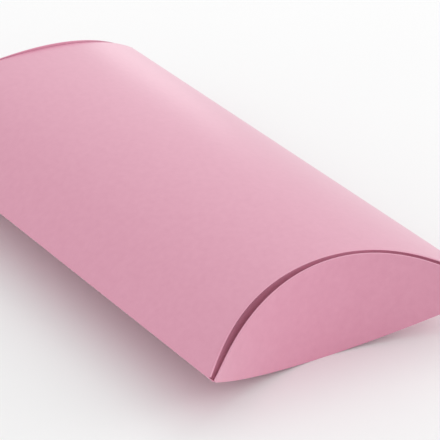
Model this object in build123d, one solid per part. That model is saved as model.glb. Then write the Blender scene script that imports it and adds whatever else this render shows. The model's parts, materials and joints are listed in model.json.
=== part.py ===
from build123d import *
import os
from math import cos, radians, sin, sqrt, tan

# Pillow-type favor box, folded from one sheet of scored card and closed by curved flaps at both ends.
# X runs along the box, Y across it and Z up. The origin is on the resting plane, under the middle of the box.

# Driving dimensions, in millimetres and degrees
LENGTH = 280.0  # top panel, from corner point to corner point
WIDTH = 135.0  # across the box, from long edge to long edge
HEIGHT = 45.0  # between the crowns of the two bowed panels
CARD = 0.5  # thickness of the card
REST_WIDTH = 8.0  # strip under the bottom panel that is pressed flat where the box stands
UPPER_CREASE_SETBACK = 23.5  # middle of the top panel's curved crease, back from that panel's corners
CREASE_STANDOFF = 0.2  # middle of the bottom panel's curved crease, out past the middle of the top panel's
CORNER_OVERHANG = 2.3  # corners of the bottom panel, out past the corners of the top panel
OUTER_FLAP_LEAN = 4.5  # closed outer flap, leaning out from upright, in degrees
FREE_EDGE_LIFT = 0.8  # middle of the outer flap's free edge, above the crown of the top panel
FREE_EDGE_DROP = 2.1  # ends of the outer flap's free edge, below mid-height
INNER_FLAP_DEPTH = 27.0  # middle of the inner flap, down from the crown of the top panel
FOLD_WIDTH = 2.0  # straight scored fold along a long edge, measured in from the edge
FOLD_RADIUS = 0.3  # rounding of the outside of a straight fold
CREASE_WIDTH = 1.2  # curved score at the end of a panel
SEAM_WIDTH = 12.0  # glue flap inside the long edge
SEAM_END_GAP = 3.0  # end of the glue flap, back from the inner flap
GLUE_THICKNESS = 0.2  # line of glue between the glue flap and the top panel
GLUE_MARGIN = 1.0  # edge of the glue, in from the edges of the glue flap

# Clearances
HINGE_GAP = 0.3  # between a flap and the crease that it turns on
SEAT_GAP = 0.05  # between layers and strips of card that lie against each other

# Values that follow from the dimensions above
RISE = HEIGHT / 2
PANEL_RADIUS = (WIDTH**2 / 4 + RISE**2) / (2 * RISE)
PRESSED_DEPTH = PANEL_RADIUS - sqrt(PANEL_RADIUS**2 - REST_WIDTH**2 / 4)
MID_HEIGHT = RISE - PRESSED_DEPTH
CROWN = MID_HEIGHT + RISE
LEAN = radians(OUTER_FLAP_LEAN)
TOP_CORNER = LENGTH / 2
BOTTOM_CORNER = TOP_CORNER + CORNER_OVERHANG
INNER_FLAP_BOW = UPPER_CREASE_SETBACK
LOWER_CREASE_SETBACK = UPPER_CREASE_SETBACK + CORNER_OVERHANG - CREASE_STANDOFF
OUTER_FLAP_BOW = (LOWER_CREASE_SETBACK - RISE * tan(LEAN)) * cos(LEAN)
CREASE_INSET = CARD + HINGE_GAP
PANEL_INSET = CREASE_INSET + CREASE_WIDTH + SEAT_GAP
SEAM_INSET = PANEL_INSET + SEAM_END_GAP
FOLD_START = WIDTH / 2 - FOLD_WIDTH
EDGE_REACH = WIDTH / 2 - FOLD_RADIUS * (2 * PANEL_RADIUS / WIDTH - 1)
SEAM_SPACE = GLUE_THICKNESS + 2 * SEAT_GAP
TOP = 1
BOTTOM = -1


# Outlines across the box, drawn in the plane of Y and Z
def panel_disc(side, inset):
    """The round region inside a panel's outer face, moved in by inset from that face."""
    centre = MID_HEIGHT + side * (RISE - PANEL_RADIUS)
    return Plane.YZ * Pos(0, centre) * Circle(PANEL_RADIUS - inset)


def span(low_y, high_y):
    """The tall strip between two distances from the middle of the box."""
    return Plane.YZ * Pos((low_y + high_y) / 2, MID_HEIGHT) * Rectangle(high_y - low_y, 2 * HEIGHT)


def half(side):
    """Everything above mid-height for the top side, or below it for the bottom side."""
    return Plane.YZ * Pos(0, MID_HEIGHT + side * HEIGHT / 2) * Rectangle(2 * WIDTH, HEIGHT)


def lengthwise(outline):
    """An outline drawn out along the box, a little past both ends."""
    return extrude(outline, amount=BOTTOM_CORNER + WIDTH / 2, both=True)


def above_rest(solid):
    """A solid with all that would reach below the resting plane pressed flat."""
    return split(solid, bisect_by=Plane.XY, keep=Keep.TOP)


# Closed flaps, each part of a round cylinder that is hollow towards the outside
def flap_frame(corner, lean):
    """Frame of the front flap's cylinder, on the line between the two corners of its panel."""
    return Plane(
        origin=(corner, 0, MID_HEIGHT),
        x_dir=(cos(lean), 0, -sin(lean)),
        z_dir=(sin(lean), 0, cos(lean)),
    )


def bow_radius(bow):
    """Radius of the arc across the box's width that is as deep as the bow."""
    return (WIDTH**2 / 4 + bow**2) / (2 * bow)


def end_cylinder(side, inset):
    """Cylinder of the front flap on one panel, with its near face inset from the flap's outer face."""
    if side == TOP:
        frame = flap_frame(TOP_CORNER, 0)
        bow = INNER_FLAP_BOW
    else:
        frame = flap_frame(BOTTOM_CORNER, LEAN)
        bow = OUTER_FLAP_BOW
    radius = bow_radius(bow)
    return extrude(frame * Pos(radius - bow, 0) * Circle(radius + inset), amount=2 * HEIGHT, both=True)


def between_ends(solid, side, inset):
    """A lengthwise solid with both ends cut to the curve of the flaps on one panel."""
    front = end_cylinder(side, inset)
    return solid - front - mirror(front, about=Plane.YZ)


def flap_sheet(side, width):
    """Sheet of card along the front flap's cylinder, before its edges are trimmed."""
    near_end = Pos(BOTTOM_CORNER - WIDTH / 2, 0, MID_HEIGHT) * Box(WIDTH, width, 2 * HEIGHT)
    return (end_cylinder(side, CARD) - end_cylinder(side, 0)) & near_end


# Panels
def panel_outline(side):
    """Bowed card of one panel, from long edge to long edge."""
    return ((panel_disc(TOP, 0) & panel_disc(BOTTOM, 0)) - panel_disc(side, CARD)) & half(side)


def top_panel_bow():
    """The top panel reaches over the glued seam, as far out as the fold on the other long edge."""
    return lengthwise(panel_outline(TOP) & span(-FOLD_START, EDGE_REACH))


def bottom_panel_bow():
    """The bottom panel ends at the folds along both long edges."""
    return above_rest(lengthwise(panel_outline(BOTTOM) & span(-FOLD_START, FOLD_START)))


def crease(bow, side):
    """Curved score along the front end of a panel, beside the flap's lower or upper edge."""
    strip = bow & end_cylinder(side, CREASE_INSET + CREASE_WIDTH)
    front_half = Pos(BOTTOM_CORNER, 0, MID_HEIGHT) * Box(LENGTH, WIDTH, 2 * HEIGHT)
    return (strip - end_cylinder(side, CREASE_INSET)) & front_half


# Straight folds along the long edges
def fold_strip(outline):
    """Fold along a long edge: its upper leg ends with the top panel and its lower leg with the bottom one."""
    legs = [between_ends(lengthwise(outline & half(side)), side, CREASE_INSET) for side in (TOP, BOTTOM)]
    return legs[0] + legs[1]


def rounded_tip(outline, edge_side):
    """An outline with its corner at one long edge rounded."""
    tip = outline.vertices().sort_by(Axis.Y)[0 if edge_side < 0 else -1]
    return fillet(tip, FOLD_RADIUS)


def side_fold():
    """The fold that carries both panels along one long edge."""
    outer = panel_disc(TOP, 0) & panel_disc(BOTTOM, 0)
    inner = panel_disc(TOP, CARD) & panel_disc(BOTTOM, CARD)
    return fold_strip(rounded_tip((outer - inner) & span(-WIDTH, -FOLD_START), -1))


def seam_fold():
    """The fold from the bottom panel up into the glue flap, tucked under the top panel's edge."""
    outer = panel_disc(TOP, CARD + SEAM_SPACE) & panel_disc(BOTTOM, 0)
    inner = panel_disc(TOP, 2 * CARD + SEAM_SPACE) & panel_disc(BOTTOM, CARD)
    return fold_strip(rounded_tip((outer - inner) & span(FOLD_START, WIDTH), 1))


# Glued seam
def seam_flap():
    """Glue flap along the inside of the top panel."""
    layer = panel_disc(TOP, CARD + SEAM_SPACE) - panel_disc(TOP, 2 * CARD + SEAM_SPACE)
    outline = layer & span(FOLD_START - SEAM_WIDTH, FOLD_START) & half(TOP)
    return between_ends(lengthwise(outline), TOP, SEAM_INSET)


def seam_glue():
    """Line of glue between the glue flap and the top panel."""
    layer = panel_disc(TOP, CARD + SEAT_GAP) - panel_disc(TOP, CARD + SEAT_GAP + GLUE_THICKNESS)
    outline = layer & span(FOLD_START - SEAM_WIDTH + GLUE_MARGIN, FOLD_START - GLUE_MARGIN) & half(TOP)
    return between_ends(lengthwise(outline), TOP, SEAM_INSET + GLUE_MARGIN)


# Flaps
def trim_plane(corner, corner_z, tip, tip_z):
    """Plane across the box through a flap's two corners and the middle of its free edge."""
    run = tip - corner
    climb = tip_z - corner_z
    reach = sqrt(run**2 + climb**2)
    return Plane(origin=(corner, 0, corner_z), x_dir=(0, 1, 0), z_dir=(climb / reach, 0, -run / reach))


def outer_flap():
    """Front outer flap: it turns up from the bottom panel's crease and stands outside the inner flap."""
    tip_z = CROWN + FREE_EDGE_LIFT
    tip = BOTTOM_CORNER - OUTER_FLAP_BOW / cos(LEAN) + (tip_z - MID_HEIGHT) * tan(LEAN)
    free_edge = trim_plane(BOTTOM_CORNER, MID_HEIGHT - FREE_EDGE_DROP, tip, tip_z)
    sheet = above_rest(flap_sheet(BOTTOM, WIDTH) & lengthwise(panel_disc(BOTTOM, 0)))
    return split(sheet, bisect_by=free_edge, keep=Keep.BOTTOM)


def inner_flap():
    """Front inner flap: it hangs from the top panel's crease, behind the outer flap and between the long folds."""
    tip_z = CROWN - INNER_FLAP_DEPTH
    free_edge = trim_plane(TOP_CORNER, MID_HEIGHT, TOP_CORNER - INNER_FLAP_BOW, tip_z)
    sheet = flap_sheet(TOP, 2 * (FOLD_START - HINGE_GAP)) & lengthwise(panel_disc(TOP, 0))
    return split(sheet, bisect_by=free_edge, keep=Keep.TOP)


# The whole box, with the rear end as the mirror image of the front end
top_bow = top_panel_bow()
bottom_bow = bottom_panel_bow()
nodes = {
    "top_panel": between_ends(top_bow, TOP, PANEL_INSET),
    "bottom_panel": between_ends(bottom_bow, BOTTOM, PANEL_INSET),
    "side_fold": side_fold(),
    "seam_fold": seam_fold(),
    "seam_flap": seam_flap(),
    "seam_glue": seam_glue(),
}
front_pieces = {
    "upper_crease": crease(top_bow, TOP),
    "lower_crease": crease(bottom_bow, BOTTOM),
    "outer_flap": outer_flap(),
    "inner_flap": inner_flap(),
}
for name, solid in front_pieces.items():
    nodes["front_" + name] = solid
    nodes["rear_" + name] = mirror(solid, about=Plane.YZ)

os.makedirs("parts", exist_ok=True)
for name, solid in nodes.items():
    export_step(solid, f"parts/{name}.step")
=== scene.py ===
import json
from math import asin, atan2, cos, pi, radians, sin, sqrt, tan

import bpy
from mathutils import Matrix, Vector


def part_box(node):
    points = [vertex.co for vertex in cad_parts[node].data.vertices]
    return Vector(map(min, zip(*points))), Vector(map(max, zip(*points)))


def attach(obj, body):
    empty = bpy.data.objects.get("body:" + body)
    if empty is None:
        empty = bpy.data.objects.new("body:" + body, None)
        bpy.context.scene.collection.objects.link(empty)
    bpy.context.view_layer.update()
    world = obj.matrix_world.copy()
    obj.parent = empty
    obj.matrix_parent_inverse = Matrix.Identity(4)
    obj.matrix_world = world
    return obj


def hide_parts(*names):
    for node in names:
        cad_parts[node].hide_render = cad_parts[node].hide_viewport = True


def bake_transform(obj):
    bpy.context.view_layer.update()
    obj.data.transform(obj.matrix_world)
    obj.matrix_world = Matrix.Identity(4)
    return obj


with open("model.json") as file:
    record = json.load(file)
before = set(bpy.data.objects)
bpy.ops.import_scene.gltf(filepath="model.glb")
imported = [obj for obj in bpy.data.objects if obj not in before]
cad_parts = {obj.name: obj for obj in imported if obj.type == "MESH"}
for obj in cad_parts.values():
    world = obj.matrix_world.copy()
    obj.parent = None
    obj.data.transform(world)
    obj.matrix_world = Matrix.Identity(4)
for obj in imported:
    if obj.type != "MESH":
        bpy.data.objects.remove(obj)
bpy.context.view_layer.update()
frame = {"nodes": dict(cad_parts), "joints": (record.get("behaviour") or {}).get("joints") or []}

# Top panel: the bowed upper face of the box and the largest field of its one sheet of pink card.
# The sheet is die cut and scored flat, and this field springs into an even arc once the long seam is glued.
# X runs along the box, Y across it towards the seam, and Z up from the table. Sizes are in metres.
CARD = 0.0005
WIDTH = 0.135
TOP_CORNER = 0.140
CREASE_STRIP = 0.002
SIDE_FOLD_LINE = -0.0672
PANEL_COLUMNS = 150
ACROSS = 121
TOP_GRAIN = 0.0
SHARP_ANGLE = radians(50)

# How far the front crease runs inside an even bow, and how far the rear one runs outside it.
UPPER_HOLLOW = 0.001
UPPER_FILL = 0.0011

CARD_LIGHT = (0.700, 0.298, 0.417, 1)
CARD_DARK = (0.652, 0.260, 0.373, 1)
WORN_FOLD = (0.790, 0.430, 0.545, 1)
RAW_EDGE = (0.700, 0.325, 0.440, 1)
# Painted shade: the darker, deeper pink that is mixed in beside each fold.
PAINTED_FOLD_SHADE = (0.680, 0.240, 0.360, 1)
CARD_ROUGHNESS = 0.42
SATIN = {
    "IOR": 1.5,
    "Coat Weight": 0.6,
    "Coat Roughness": 0.33,
    "Sheen Weight": 0.06,
    "Sheen Roughness": 0.5,
}

# The card's pattern: the size of each kind of mark in it, then how much each kind tells.
FIBRE_ANGLES = (12, 71, 133)
FIBRE_LENGTH = 0.0026
FIBRE_WIDTH = 0.00022
CLOUD_SIZE = 0.009
MOTTLE_SIZE = 0.003
TOOTH_SIZE = 0.00035
FINE_DETAIL = 2.0
CLOUD_DETAIL = 3.0
SPECKLE_ROUGHNESS = 0.55
MID_TONE = 0.5
CLOUD_TONE = 0.5
MOTTLE_TONE = 1.2
FELT_TONE = 1.5
TOOTH_TONE = 0.5
FELT_RELIEF = 0.6
TOOTH_RELIEF = 0.4
RELIEF_STRENGTH = 0.35
RELIEF_DEPTH = 0.000025
FELT_ROUGHNESS = 0.25

# Wear beside a fold or a cut, and a wider band of painted shade beside each fold: how far each reaches and
# how much it shows.
WEAR_CORE = 0.0001
WEAR_WIDTH = 0.0004
WEAR_EVEN = 0.1
WEAR_PATCHY = 0.7
WEAR_ROUGHNESS = 0.15
FOLD_SHADE_WIDTH = 0.0018
FOLD_SHADE_SHARE = 0.3
CUT_WIDTH = 0.00012
RAW_SHARE = 0.8
RAW_ROUGHNESS = 0.2

panel_low, panel_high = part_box("top_panel")
mid_height = panel_low.z
rise = panel_high.z - mid_height
fold_start = -panel_low.y
seam_edge = panel_high.y
hinge = {joint["name"]: Vector(joint["pos_m"]) for joint in frame["joints"]}
upper_bow = TOP_CORNER - hinge["front_inner_hinge"].x


class Wire:
    """One output in a node tree. Arithmetic on it adds Math nodes, and node() adds any other node."""

    def __init__(self, tree, socket=None):
        self.tree = tree
        self.socket = socket

    def node(self, kind, settings=None, sockets=None, output=0):
        made = self.tree.nodes.new(kind)
        for name, value in (settings or {}).items():
            setattr(made, name, value)
        for name, value in (sockets or {}).items():
            if isinstance(value, Wire):
                self.tree.links.new(value.socket, made.inputs[name])
            else:
                made.inputs[name].default_value = value
        return Wire(self.tree, made.outputs[output])

    def math(self, operation, *others):
        return self.node("ShaderNodeMath", {"operation": operation}, dict(enumerate((self, *others))))

    def flipped(self, operation, other):
        return self.node("ShaderNodeMath", {"operation": operation}, {0: other, 1: self})

    def __add__(self, other):
        return self.math("ADD", other)

    def __sub__(self, other):
        return self.math("SUBTRACT", other)

    def __mul__(self, other):
        return self.math("MULTIPLY", other)

    def __truediv__(self, other):
        return self.math("DIVIDE", other)

    def __radd__(self, other):
        return self.flipped("ADD", other)

    def __rsub__(self, other):
        return self.flipped("SUBTRACT", other)

    def __rmul__(self, other):
        return self.flipped("MULTIPLY", other)

    def __rtruediv__(self, other):
        return self.flipped("DIVIDE", other)

    def share(self):
        """The value held between 0 and 1."""
        return self.math("MAXIMUM", 0.0).math("MINIMUM", 1.0)

    def fade(self, full, none):
        """1 up to the value full, sinking to 0 at the value none."""
        limits = {"Value": self, "From Min": full, "From Max": none, "To Min": 1.0, "To Max": 0.0}
        return self.node("ShaderNodeMapRange", {"interpolation_type": "SMOOTHSTEP"}, limits)

    def mixed(self, first, second):
        """The first colour where the value is 0, the second where it is 1."""
        # A colour mix has its factor in socket 0 and its two colours in sockets 6 and 7.
        colours = {0: self, 6: first, 7: second}
        return self.node("ShaderNodeMix", {"data_type": "RGBA"}, colours, output=2)


def pink_card():
    """Dyed card with a soft satin face: felted fibres, cloudy tone, pale worn folds, painted shade in a band
    beside the folds and pale cut edges.
    """
    material = bpy.data.materials.new("pink_card")
    material.use_nodes = True
    tree = material.node_tree
    face = Wire(tree)
    sheet = face.node("ShaderNodeAttribute", {"attribute_name": "sheet"}, output="Vector")
    fold = face.node("ShaderNodeAttribute", {"attribute_name": "fold"}, output="Fac")
    cut = face.node("ShaderNodeAttribute", {"attribute_name": "cut"}, output="Fac")

    def speckle(vector, scale, detail):
        sockets = {"Vector": vector, "Scale": scale, "Detail": detail, "Roughness": SPECKLE_ROUGHNESS}
        return face.node("ShaderNodeTexNoise", {"noise_dimensions": "3D"}, sockets)

    def fibres(angle):
        turned = face.node("ShaderNodeMapping", {"vector_type": "POINT"}, {
            "Vector": sheet, "Rotation": (0, 0, radians(angle)),
        })
        drawn = face.node("ShaderNodeMapping", {"vector_type": "POINT"}, {
            "Vector": turned, "Scale": (1 / FIBRE_LENGTH, 1 / FIBRE_WIDTH, 1),
        })
        return speckle(drawn, 1.0, FINE_DETAIL)

    felt = sum(fibres(angle) for angle in FIBRE_ANGLES) * (1 / len(FIBRE_ANGLES))
    cloud = speckle(sheet, 1 / CLOUD_SIZE, CLOUD_DETAIL)
    mottle = speckle(sheet, 1 / MOTTLE_SIZE, FINE_DETAIL)
    tooth = speckle(sheet, 1 / TOOTH_SIZE, FINE_DETAIL)
    tone = MID_TONE
    weights = ((cloud, CLOUD_TONE), (mottle, MOTTLE_TONE), (felt, FELT_TONE), (tooth, TOOTH_TONE))
    for marks, weight in weights:
        tone = tone + (marks - MID_TONE) * weight

    wear = fold.fade(WEAR_CORE, WEAR_WIDTH) * (WEAR_EVEN + tooth * WEAR_PATCHY)
    # Painted shade: the card is darkened in a band beside each fold, which fades out at the shade's width.
    fold_shade = fold.fade(WEAR_WIDTH, FOLD_SHADE_WIDTH) * FOLD_SHADE_SHARE
    raw = cut.fade(0.0, CUT_WIDTH)
    colour = tone.share().mixed(CARD_DARK, CARD_LIGHT)
    colour = fold_shade.mixed(colour, PAINTED_FOLD_SHADE)
    colour = wear.share().mixed(colour, WORN_FOLD)
    colour = (raw * RAW_SHARE).mixed(colour, RAW_EDGE)
    rough = CARD_ROUGHNESS + (felt - MID_TONE) * FELT_ROUGHNESS + wear * WEAR_ROUGHNESS + raw * RAW_ROUGHNESS
    height = felt * FELT_RELIEF + tooth * TOOTH_RELIEF
    relief = face.node("ShaderNodeBump", {}, {
        "Strength": RELIEF_STRENGTH, "Distance": RELIEF_DEPTH, "Height": height,
    })
    shader = tree.nodes["Principled BSDF"]
    for name, value in SATIN.items():
        shader.inputs[name].default_value = value
    tree.links.new(colour.socket, shader.inputs["Base Color"])
    tree.links.new(rough.socket, shader.inputs["Roughness"])
    tree.links.new(relief.socket, shader.inputs["Normal"])
    return material


card_finish = pink_card()


def arc_radius(depth):
    """Radius of the arc across the whole width that is this deep at its middle."""
    return (WIDTH**2 / 4 + depth**2) / (2 * depth)


def arc(y, radius, depth):
    """How far such an arc stands over its chord, at y from the middle."""
    return (radius * radius - y * y).math("SQRT") - (radius - depth)


def panel_height(y, size):
    """Height of a panel's outer face, pressed flat where it would reach below the table."""
    bowed = size["Mid height"] + size["Hand"] * arc(y, size["Panel radius"], size["Rise"])
    return bowed.math("MAXIMUM", 0.0)


def end_face(y, z, size):
    """How far along the box the outer face of the flap on a panel stands, at y and height z."""
    bow = arc(y, size["Bow radius"], size["Bow"]) * size["Lean stretch"]
    return size["Corner"] - bow + (z - size["Mid height"]) * size["Lean slope"]


# What share * share * (1 - share) is multiplied by to reach 1 where it is largest, at two thirds.
FULL_HOLLOW = 27 / 4


def hollow(y, size):
    """How far a crease runs inside an even bow beside its middle, less how far outside it at its middle."""
    share = arc(y, size["Panel radius"], size["Rise"]) / size["Rise"]
    return size["Hollow"] * FULL_HOLLOW * share * share * (1 - share) - size["Fill"] * share


def panel_face(u, v, size):
    """Point of a panel, with its length along the sheet and its distances from a fold and from a cut."""
    y = size["From"] + v * (size["To"] - size["From"])
    z = panel_height(y, size)
    front = end_face(y, z, size) - hollow(y, {**size, "Fill": 0.0})
    rear = end_face(y, z, size) - hollow(y, {**size, "Hollow": 0.0})
    x = u * (front - CREASE_STRIP) - (1 - u) * (rear - CREASE_STRIP)
    fold = (front - x).math("MINIMUM", rear + x).math("MINIMUM", y - size["Fold line"])
    cut = size["Cut line"] - y
    return x, y, z, x, fold, cut


def card_sheet(name, columns, rows, sizes, shape, grain, thickness=CARD):
    """A field of the card: a grid bent by a rule, given its thickness and made a plain mesh.

    Grain is how deep in the card's pattern the field is drawn, so that two fields don't look alike.
    """
    values = {"Columns": columns, "Rows": rows, "Grain": grain, **sizes}
    tree = bpy.data.node_groups.new(name, "GeometryNodeTree")
    sockets = {}
    for label, value in values.items():
        kind = "NodeSocketInt" if isinstance(value, int) else "NodeSocketFloat"
        sockets[label] = tree.interface.new_socket(label, in_out="INPUT", socket_type=kind)
    tree.interface.new_socket("Sheet", in_out="OUTPUT", socket_type="NodeSocketGeometry")
    given = tree.nodes.new("NodeGroupInput")
    size = {label: Wire(tree, given.outputs[label]) for label in values}
    flat = Wire(tree)
    # The flat grid measures 1 by 1 about the origin, so u and v run from 0 to 1.
    spot = flat.node("GeometryNodeInputPosition")
    u = flat.node("ShaderNodeSeparateXYZ", {}, {0: spot}, "X") + 0.5
    v = flat.node("ShaderNodeSeparateXYZ", {}, {0: spot}, "Y") + 0.5
    x, y, z, along, fold, cut = shape(u, v, size)
    counts = {"Size X": 1.0, "Size Y": 1.0, "Vertices X": size["Columns"], "Vertices Y": size["Rows"]}
    made = flat.node("GeometryNodeMeshGrid", {}, counts)
    sheet = flat.node("ShaderNodeCombineXYZ", {}, {"X": along, "Y": y, "Z": size["Grain"]})
    marks = {"sheet": ("FLOAT_VECTOR", sheet), "fold": ("FLOAT", fold), "cut": ("FLOAT", cut)}
    for label, (kind, value) in marks.items():
        settings = {"data_type": kind, "domain": "POINT"}
        written = {"Geometry": made, "Name": label, "Value": value}
        made = flat.node("GeometryNodeStoreNamedAttribute", settings, written)
    bent = flat.node("ShaderNodeCombineXYZ", {}, {"X": x, "Y": y, "Z": z})
    made = flat.node("GeometryNodeSetPosition", {}, {"Geometry": made, "Position": bent})
    made = flat.node("GeometryNodeSetShadeSmooth", {}, {"Geometry": made})
    made = flat.node("GeometryNodeRealizeInstances", {}, {"Geometry": made})
    made = flat.node("GeometryNodeSetMaterial", {}, {"Geometry": made, "Material": card_finish})
    tree.links.new(made.socket, tree.nodes.new("NodeGroupOutput").inputs["Sheet"])

    piece = bpy.data.objects.new(name, bpy.data.meshes.new(name))
    bpy.context.scene.collection.objects.link(piece)
    bend = piece.modifiers.new("bend", "NODES")
    bend.node_group = tree
    for label, value in values.items():
        bend[sockets[label].identifier] = value
    # The bent grid is the outer face, so the thickness goes inwards.
    wall = piece.modifiers.new("thickness", "SOLIDIFY")
    wall.thickness = thickness
    wall.offset = -1
    depsgraph = bpy.context.evaluated_depsgraph_get()
    shown = piece.evaluated_get(depsgraph)
    mesh = bpy.data.meshes.new_from_object(shown, preserve_all_data_layers=True, depsgraph=depsgraph)
    piece.modifiers.clear()
    piece.data = mesh
    mesh.set_sharp_from_angle(angle=SHARP_ANGLE)
    return piece


# Hand is 1 for a panel that bows up and -1 for one that bows down.
top_sizes = {
    "Hand": 1.0,
    "Mid height": mid_height,
    "Rise": rise,
    "Panel radius": arc_radius(rise),
    "Corner": TOP_CORNER,
    "Bow": upper_bow,
    "Bow radius": arc_radius(upper_bow),
    "Lean slope": 0.0,
    "Lean stretch": 1.0,
    "Hollow": UPPER_HOLLOW,
    "Fill": UPPER_FILL,
    "Fold line": SIDE_FOLD_LINE,
    "Cut line": seam_edge,
}
top_field = {**top_sizes, "From": -fold_start, "To": seam_edge}
top_panel = card_sheet("top_panel_card", PANEL_COLUMNS, ACROSS, top_field, panel_face, TOP_GRAIN)
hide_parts("top_panel")
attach(top_panel, "sleeve")

# Bottom panel: the bowed lower face, of the same sheet and the same arc as the top panel.
# The box stands on its crown, where the card is pressed flat along a narrow strip, and its corners
# reach a little further out than the top panel's.
BOTTOM_CORNER = 0.1423
BOTTOM_GRAIN = 0.2
FLAP_LEAN = radians(4.5)
NO_CUT = 1.0

lower_setback = BOTTOM_CORNER - hinge["front_outer_hinge"].x


def lower_sizes(lean):
    """Sizes of the bottom panel with flaps that lean out this far, on the same crease."""
    bow = (lower_setback - mid_height * tan(lean)) * cos(lean)
    return {
        **top_sizes,
        "Hand": -1.0,
        "Corner": BOTTOM_CORNER,
        "Bow": bow,
        "Bow radius": arc_radius(bow),
        "Lean slope": tan(lean),
        "Lean stretch": 1 / cos(lean),
        "Hollow": 0.0,
        "Fill": 0.0,
        "Cut line": NO_CUT,
    }


bottom_sizes = lower_sizes(FLAP_LEAN)
bottom_field = {**bottom_sizes, "From": fold_start, "To": -fold_start}
bottom_panel = card_sheet("bottom_panel_card", PANEL_COLUMNS, ACROSS, bottom_field, panel_face, BOTTOM_GRAIN)
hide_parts("bottom_panel")
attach(bottom_panel, "sleeve")

# Long folds: the straight scores along both long edges, each pressed to a tight round by hand.
# The side fold joins the two panels, and the seam fold turns the bottom panel up into the glue flap,
# tucked under the top panel's cut edge by the thickness of the card and its glue.
FOLD_RADIUS = 0.0003
PRESSED_CARD = 0.00028
SEAM_DEPTH = 0.0008
END_SETBACK = 0.0008
LEG_STEPS = 8
SIDE_FOLD_GRAIN = 0.3
SEAM_FOLD_GRAIN = 0.4
MID_TURN = 0.5
TURN_LENGTH = 0.5

panel_radius = arc_radius(rise)
centre_drop = panel_radius - rise


def long_fold(u, v, size):
    """Point of a long fold: a leg along the bottom arc, the tight turn, and a leg back along the top arc."""
    leg = (v * 3).share()
    turn = (v * 3 - 1).share()
    back = (v * 3 - 2).share()
    low = size["Low start"] + leg * (size["Low end"] - size["Low start"])
    bend = size["Low end"] + turn * (size["Turn end"] - size["Low end"])
    high = size["High start"] + back * (size["High end"] - size["High start"])
    inner_radius = size["Panel radius"] - size["Inset"]
    out = size["Panel radius"] * low.math("SINE")
    out = out + size["Fold radius"] * (bend.math("SINE") - size["Low end"].math("SINE"))
    out = out + inner_radius * (high.math("SINE") - size["High start"].math("SINE"))
    z = size["Mid height"] + centre_drop - size["Panel radius"] * low.math("COSINE")
    z = z - size["Fold radius"] * (bend.math("COSINE") - size["Low end"].math("COSINE"))
    z = z + inner_radius * (high.math("COSINE") - size["High start"].math("COSINE"))
    low_reach = end_face(out, z, size)
    high_reach = TOP_CORNER - arc(out, size["High bow radius"], size["High bow"])
    reach = low_reach + turn * (high_reach - low_reach) - END_SETBACK
    x = (1 - u * 2) * size["Side"] * reach
    y = size["Side"] * out
    path = (1 - leg) + (turn - MID_TURN).math("ABSOLUTE") * TURN_LENGTH + back
    fold = path * (size["Panel radius"] * (size["Low end"] - size["Low start"]))
    cut = reach - x.math("ABSOLUTE")
    return x, y, z, x, fold, cut


def fold_sizes(side, inset):
    """Angles of a long fold's legs and turn, for a top arc that lies this far inside the outer one."""
    low_reach = panel_radius - FOLD_RADIUS
    high_reach = panel_radius - inset - FOLD_RADIUS
    drop = (low_reach**2 - high_reach**2) / (4 * centre_drop)
    out = sqrt(low_reach**2 - (centre_drop + drop) ** 2)
    low_end = atan2(out, centre_drop + drop)
    high_start = atan2(out, centre_drop - drop)
    return {
        **bottom_sizes,
        "Side": side,
        "Inset": inset,
        "Fold radius": FOLD_RADIUS,
        "Low start": asin(fold_start / panel_radius),
        "Low end": low_end,
        "Turn end": pi - high_start,
        "High start": high_start,
        "High end": asin(fold_start / (panel_radius - inset)),
        "High bow": upper_bow,
        "High bow radius": arc_radius(upper_bow),
    }


fold_rows = 3 * LEG_STEPS + 1
for node, side, inset, grain in (
    ("side_fold", -1.0, 0.0, SIDE_FOLD_GRAIN),
    ("seam_fold", 1.0, SEAM_DEPTH, SEAM_FOLD_GRAIN),
):
    turned = fold_sizes(side, inset)
    strip = card_sheet(node + "_card", PANEL_COLUMNS, fold_rows, turned, long_fold, grain, PRESSED_CARD)
    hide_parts(node)
    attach(strip, "sleeve")

# Glue flap: a narrow strip of the card along the second long edge, turned in and stuck under the top panel.
# Its ends stop short of the end flaps, so that they fold in freely.
GLUE_FLAP_GRAIN = 0.5

seam_low, seam_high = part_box("seam_flap")
seam_setback = TOP_CORNER - seam_high.x


def glue_flap_face(u, v, size):
    """Point of the glue flap, on the top panel's arc but one card and the glue further in."""
    y = size["From"] + v * (size["To"] - size["From"])
    radius = size["Panel radius"] - size["Inset"]
    z = size["Mid height"] + (radius * radius - y * y).math("SQRT") - centre_drop
    reach = end_face(y, size["Mid height"], size) - size["Setback"]
    x = (u * 2 - 1) * reach
    cut = (reach - x.math("ABSOLUTE")).math("MINIMUM", y - size["From"])
    return x, y, z, x, size["To"] - y + WEAR_WIDTH, cut


glue_flap_sizes = {
    **top_sizes,
    "From": seam_low.y,
    "To": seam_high.y,
    "Inset": SEAM_DEPTH,
    "Setback": seam_setback,
}
seam_flap = card_sheet(
    "seam_flap_card", PANEL_COLUMNS, 2 * LEG_STEPS, glue_flap_sizes, glue_flap_face, GLUE_FLAP_GRAIN
)
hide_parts("seam_flap")
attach(seam_flap, "sleeve")

# Glue: a thin line of white carton glue between the glue flap and the top panel.
# It is rolled on wet and dries to a dull, slightly uneven skin that nobody sees on a closed box.
GLUE_WHITE = (0.80, 0.77, 0.68, 1)
GLUE_YELLOWED = (0.70, 0.64, 0.50, 1)
GLUE_STREAK = 0.004
STREAK_STRETCH = (0.3, 1, 1)
STREAK_DETAIL = 4.0
SKIN_STRENGTH = 0.4
SKIN_DEPTH = 0.0001
SKIN_ROUGHNESS = 0.35
STREAK_ROUGHNESS = 0.3


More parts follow.
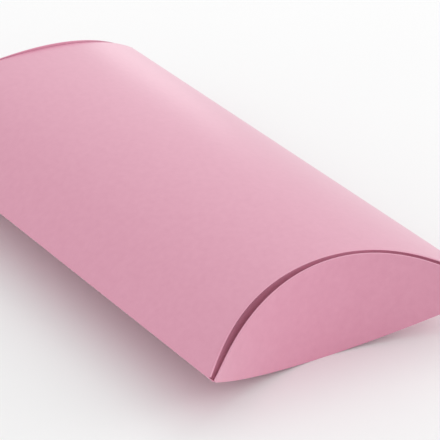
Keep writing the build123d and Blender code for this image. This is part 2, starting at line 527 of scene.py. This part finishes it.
def dried_glue():
    """Dull off-white skin, yellowed in streaks along the line."""
    material = bpy.data.materials.new("dried_glue")
    material.use_nodes = True
    tree = material.node_tree
    skin = Wire(tree)
    spot = skin.node("ShaderNodeTexCoord", output="Object")
    drawn = skin.node("ShaderNodeMapping", {"vector_type": "POINT"}, {
        "Vector": spot, "Scale": STREAK_STRETCH,
    })
    streak = skin.node("ShaderNodeTexNoise", {}, {
        "Vector": drawn, "Scale": 1 / GLUE_STREAK, "Detail": STREAK_DETAIL,
    })
    colour = streak.mixed(GLUE_WHITE, GLUE_YELLOWED)
    rough = SKIN_ROUGHNESS + streak * STREAK_ROUGHNESS
    relief = skin.node("ShaderNodeBump", {}, {
        "Strength": SKIN_STRENGTH, "Distance": SKIN_DEPTH, "Height": streak,
    })
    shader = tree.nodes["Principled BSDF"]
    tree.links.new(colour.socket, shader.inputs["Base Color"])
    tree.links.new(rough.socket, shader.inputs["Roughness"])
    tree.links.new(relief.socket, shader.inputs["Normal"])
    return material


glue_line = frame["nodes"]["seam_glue"]
glue_line.data.materials.clear()
glue_line.data.materials.append(dried_glue())

# Curved creases: the bowed scores at both ends of both panels, where the card turns into a flap.
# A blunt rule presses a shallow channel into the card, and the fold beside it rounds over and wears pale.
BEND_RADIUS = 0.0002
CHANNEL_DEPTH = 0.00005
BEND_TAPER = 0.2
STRIP_STEPS = 7


def bend_radius(y, size):
    """Radius of a crease's turn, which tightens towards the corners, where the flap runs out."""
    return (arc(y, size["Panel radius"], size["Rise"]) * BEND_TAPER).math("MINIMUM", BEND_RADIUS)


def curved_crease(u, v, size):
    """Point of a curved crease: the scored strip at the panel's end, then the turn into the flap."""
    y = size["From"] + u * (size["To"] - size["From"])
    face = panel_height(y, size)
    edge = end_face(y, face, size) - hollow(y, size)
    radius = bend_radius(y, size)
    leg = (v * 2).share()
    turn = (v * 2 - 1).share()
    wave = (leg * pi).math("SINE")
    channel = wave * wave * CHANNEL_DEPTH
    left = 1 - turn
    climb = radius * turn * turn
    x = edge - CREASE_STRIP + leg * (CREASE_STRIP - radius) + radius - radius * left * left
    x = x + climb * size["Lean slope"]
    z = face - size["Hand"] * (climb + channel)
    fold = (1 - leg) * (CREASE_STRIP - radius) + (turn - MID_TURN).math("ABSOLUTE") * radius
    return x * size["End"], y, z, x + climb, fold, size["Cut line"] - y


def at_end(way, sizes, across):
    """Sizes of a crease or flap at one end, run so that it faces outwards, with that end's bends alone."""
    first, last = across if way * sizes["Hand"] < 0 else across[::-1]
    bends = {"Hollow": sizes["Hollow"] * (way > 0), "Fill": sizes["Fill"] * (way < 0)}
    return {**sizes, **bends, "From": first, "To": last, "End": way}


ends = {"front": 1.0, "rear": -1.0}
crease_rows = 2 * STRIP_STEPS + 1
for end, way in ends.items():
    for level, sizes, across, grain in (
        ("upper", top_sizes, (-fold_start, seam_edge - PRESSED_CARD), TOP_GRAIN),
        ("lower", bottom_sizes, (-fold_start, fold_start), BOTTOM_GRAIN),
    ):
        node = f"{end}_{level}_crease"
        scored = at_end(way, sizes, across)
        crease = card_sheet(node + "_card", ACROSS, crease_rows, scored, curved_crease, grain, PRESSED_CARD)
        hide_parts(node)
        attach(crease, "sleeve")

# Inner flaps: the tongues on the top panel, folded in first and hidden behind the outer flaps in a shut box.
# The crease that they hang from bows them hollow and tucks them in.
# The front one tucks in most at its sides, which then lean out again further down.
INNER_REACH = 0.0666
INNER_DROP = 0.002
INNER_DEPTH = 0.027
INNER_GRAIN = 0.6
SHOULDER_POWER = 8.0
FLAP_STEPS = 33

# A tuck is a share of the flap's bow. An undercut and a splay are lengths at its corners.
# Each of these bends is mostly done within its depth below the crease.
FRONT_TUCK = 0.012
REAR_TUCK = 0.047
TUCK_DEPTH = 0.003
UNDERCUT = 0.003
UNDERCUT_DEPTH = 0.001
SPLAY = 0.0065
SPLAY_DEPTH = 0.006


def sunk(depth, reach):
    """Share of a bend that is done at this depth, when most of it is done within its reach."""
    return 1 - (depth * (-1 / reach)).math("EXPONENT")


def flap_face(u, v, size):
    """Point of an end flap, between its crease and its free edge."""
    y = size["From"] + u * (size["To"] - size["From"])
    face = panel_height(y, size)
    root = face - size["Hand"] * bend_radius(y, size)
    bow = arc(y, size["Bow radius"], size["Bow"]) * size["Lean stretch"]
    run = 0 - bow - size["Mid height"] * size["Lean slope"]
    free = (size["Free corner"] + size["Free slope"] * run) / (1 - size["Free slope"] * size["Lean slope"])
    low_side = size["Mid height"] - arc(y, size["Panel radius"], size["Rise"]) + CARD
    sideways = 1 - arc(y, size["Panel radius"], size["Rise"]) / size["Rise"]
    shoulder = size["Shoulder"] * sideways.math("POWER", SHOULDER_POWER)
    free = (free + size["Free tilt"] * y + shoulder).math("MAXIMUM", low_side)
    z = root + v * (free - root)
    depth = (z - root).math("ABSOLUTE")
    tucked = size["Tuck"] * bow * sunk(depth, TUCK_DEPTH)
    undercut = size["Undercut"] * sideways * sunk(depth, UNDERCUT_DEPTH)
    splayed = size["Splay"] * sideways * sunk(depth, SPLAY_DEPTH)
    x = end_face(y, z, size) - hollow(y, size) - tucked - undercut + splayed
    # A tucked flap isn't rubbed along its crease, so its fold counts as further off than wear reaches.
    fold = (z - face).math("ABSOLUTE") + size["Tuck"]
    side = (y - size["From"]).math("ABSOLUTE").math("MINIMUM", (size["To"] - y).math("ABSOLUTE"))
    cut = (free - z).math("ABSOLUTE").math("MINIMUM", side)
    return x * size["End"], y, z, end_face(y, face, size) + fold, fold, cut


def free_edge(sizes, corner_drop, tip_height, tilt, shoulder):
    """A flap's cut: its free edge from the corners' height to the middle, its tilt, and its fuller ends."""
    corner = mid_height - corner_drop
    tip = (tip_height - mid_height) * sizes["Lean slope"] - sizes["Bow"] * sizes["Lean stretch"]
    slope = (tip_height - corner) / tip
    return {"Free corner": corner, "Free slope": slope, "Free tilt": tilt, "Shoulder": shoulder}


def end_flap(end, level, sizes, reach, grain):
    """One flap at one end, made as a sheet of card in its shut place."""
    way = ends[end]
    node = f"{end}_{level}_flap"
    bent = at_end(way, sizes, (-reach, reach))
    flap = card_sheet(node + "_card", ACROSS, FLAP_STEPS, bent, flap_face, grain)
    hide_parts(node)
    # The plane through the crease's middle and its corners, and the direction square to it.
    start = hinge[f"{end}_{level}_hinge"]
    out = sizes["Corner"] - abs(start.x)
    up = mid_height - start.z
    square = Vector((-way * up, 0, out)) if up > 0 else Vector((way * up, 0, -out))
    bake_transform(flap)


inner_edge = free_edge(top_sizes, INNER_DROP, panel_high.z - INNER_DEPTH, tilt=0.0, shoulder=0.0)
for end, tuck, undercut, splay in (("front", FRONT_TUCK, UNDERCUT, SPLAY), ("rear", REAR_TUCK, 0.0, 0.0)):
    bends = {"Tuck": tuck, "Undercut": undercut, "Splay": splay}
    end_flap(end, "inner", {**top_sizes, **inner_edge, **bends}, INNER_REACH, INNER_GRAIN)

# Outer flaps: the tongues on the bottom panel that close the ends, standing just outside the top panel.
# Their bow holds them shut, with a hair's breadth of shadow round their free edge.
# The front one is fuller at its corners, and the rear one is folded more upright and a little askew.
OUTER_REACH = 0.0658
FREE_EDGE_DROP = 0.0040
FRONT_LIFT = 0.00035
FRONT_TILT = 0.008
FRONT_SHOULDER = 0.0040
REAR_LEAN = radians(2.0)
REAR_LIFT = 0.00085
REAR_TILT = 0.024

even = {"Tuck": 0.0, "Undercut": 0.0, "Splay": 0.0}
for end, lean, lift, tilt, shoulder in (
    ("front", FLAP_LEAN, FRONT_LIFT, FRONT_TILT, FRONT_SHOULDER),
    ("rear", REAR_LEAN, REAR_LIFT, REAR_TILT, 0.0),
):
    leaning = lower_sizes(lean)
    outer_edge = free_edge(leaning, FREE_EDGE_DROP, panel_high.z + lift, tilt, shoulder)
    end_flap(end, "outer", {**leaning, **outer_edge, **even}, OUTER_REACH, BOTTOM_GRAIN)

# Table: the plain pale board that the box stands on, large enough to fill the view.
# It is brushed with matt white paint, so its tone is faintly uneven.
TABLE_SIZE = 6.0
TABLE_PALE = (0.90, 0.90, 0.90, 1)
TABLE_SHADE = (0.87, 0.87, 0.87, 1)
TABLE_ROUGHNESS = 0.9
TABLE_SHINE = 0.1
PATCHES_PER_METRE = 3.0
PATCH_DETAIL = 2.0

table_mesh = bpy.data.meshes.new("table")
half = TABLE_SIZE / 2
corners = [(-half, -half, 0), (half, -half, 0), (half, half, 0), (-half, half, 0)]
table_mesh.from_pydata(corners, [], [(0, 1, 2, 3)])
table = bpy.data.objects.new("table", table_mesh)
bpy.context.scene.collection.objects.link(table)
table_paint = bpy.data.materials.new("table_paint")
table_paint.use_nodes = True
paint = Wire(table_paint.node_tree)
spot = paint.node("ShaderNodeTexCoord", output="Object")
patch = paint.node("ShaderNodeTexNoise", {}, {
    "Vector": spot, "Scale": PATCHES_PER_METRE, "Detail": PATCH_DETAIL,
})
paint_colour = patch.mixed(TABLE_PALE, TABLE_SHADE)
table_shader = table_paint.node_tree.nodes["Principled BSDF"]
table_shader.inputs["Roughness"].default_value = TABLE_ROUGHNESS
table_shader.inputs["Specular IOR Level"].default_value = TABLE_SHINE
table_paint.node_tree.links.new(paint_colour.socket, table_shader.inputs["Base Color"])
table_mesh.materials.append(table_paint)

# Light: a white tent all round, with a broad soft lamp at the near right and one above the seam side.
# Two small lamps behind the far end, one high and one low, are mirrored in the satin card there and along
# the far part of the seam. Each lamp has its place, its size across and its power.
TENT_WHITE = (1.0, 1.0, 1.0, 1)
TENT_STRENGTH = 0.93
LAMPS = {
    "near_lamp": (Vector((0.8, 1.3, 0.45)), 0.8, 5.5),
    "seam_lamp": (Vector((-0.5, 1.1, 1.3)), 1.2, 3.0),
    "far_lamp": (Vector((-0.34, 0.12, 0.25)), 0.25, 0.05),
    "edge_lamp": (Vector((-0.39, 0.29, 0.05)), 0.10, 0.024),
}

world = bpy.data.worlds.new("tent")
bpy.context.scene.world = world
world.use_nodes = True
world.node_tree.nodes["Background"].inputs["Color"].default_value = TENT_WHITE
world.node_tree.nodes["Background"].inputs["Strength"].default_value = TENT_STRENGTH
for name, (place, size, power) in LAMPS.items():
    lamp = bpy.data.lights.new(name, "AREA")
    lamp.energy = power
    lamp.size = size
    lamp_object = bpy.data.objects.new(name, lamp)
    lamp_object.location = place
    lamp_object.rotation_mode = "QUATERNION"
    lamp_object.rotation_quaternion = (-place).to_track_quat("-Z", "Y")
    bpy.context.scene.collection.objects.link(lamp_object)
bpy.context.scene.view_settings.view_transform = "Standard"

# Camera: a long lens above the near end, looking along the box at the angle of the photograph.
# It stands at a distance from the box's middle, turned by two angles and then moved a little right and down.
AZIMUTH = radians(57.376)
ELEVATION = radians(27.138)
DISTANCE = 1.239372
MOVED_RIGHT = 0.022333
MOVED_UP = -0.010304
FOCAL_PIXELS = 2936.458
PICTURE_PIXELS = 440
SENSOR = 36.0
NEAREST = 0.01

back = Vector((sin(AZIMUTH) * cos(ELEVATION), -cos(AZIMUTH) * cos(ELEVATION), sin(ELEVATION)))
right = Vector((cos(AZIMUTH), sin(AZIMUTH), 0))
up = back.cross(right)
camera = bpy.data.cameras.new("camera")
camera.sensor_width = SENSOR
camera.lens = FOCAL_PIXELS / PICTURE_PIXELS * SENSOR
camera.clip_start = NEAREST
camera_object = bpy.data.objects.new("camera", camera)
stand = Vector((0, 0, mid_height)) + back * DISTANCE + right * MOVED_RIGHT + up * MOVED_UP
camera_object.matrix_world = Matrix.Translation(stand) @ Matrix((right, up, back)).transposed().to_4x4()
bpy.context.scene.collection.objects.link(camera_object)
bpy.context.scene.camera = camera_object
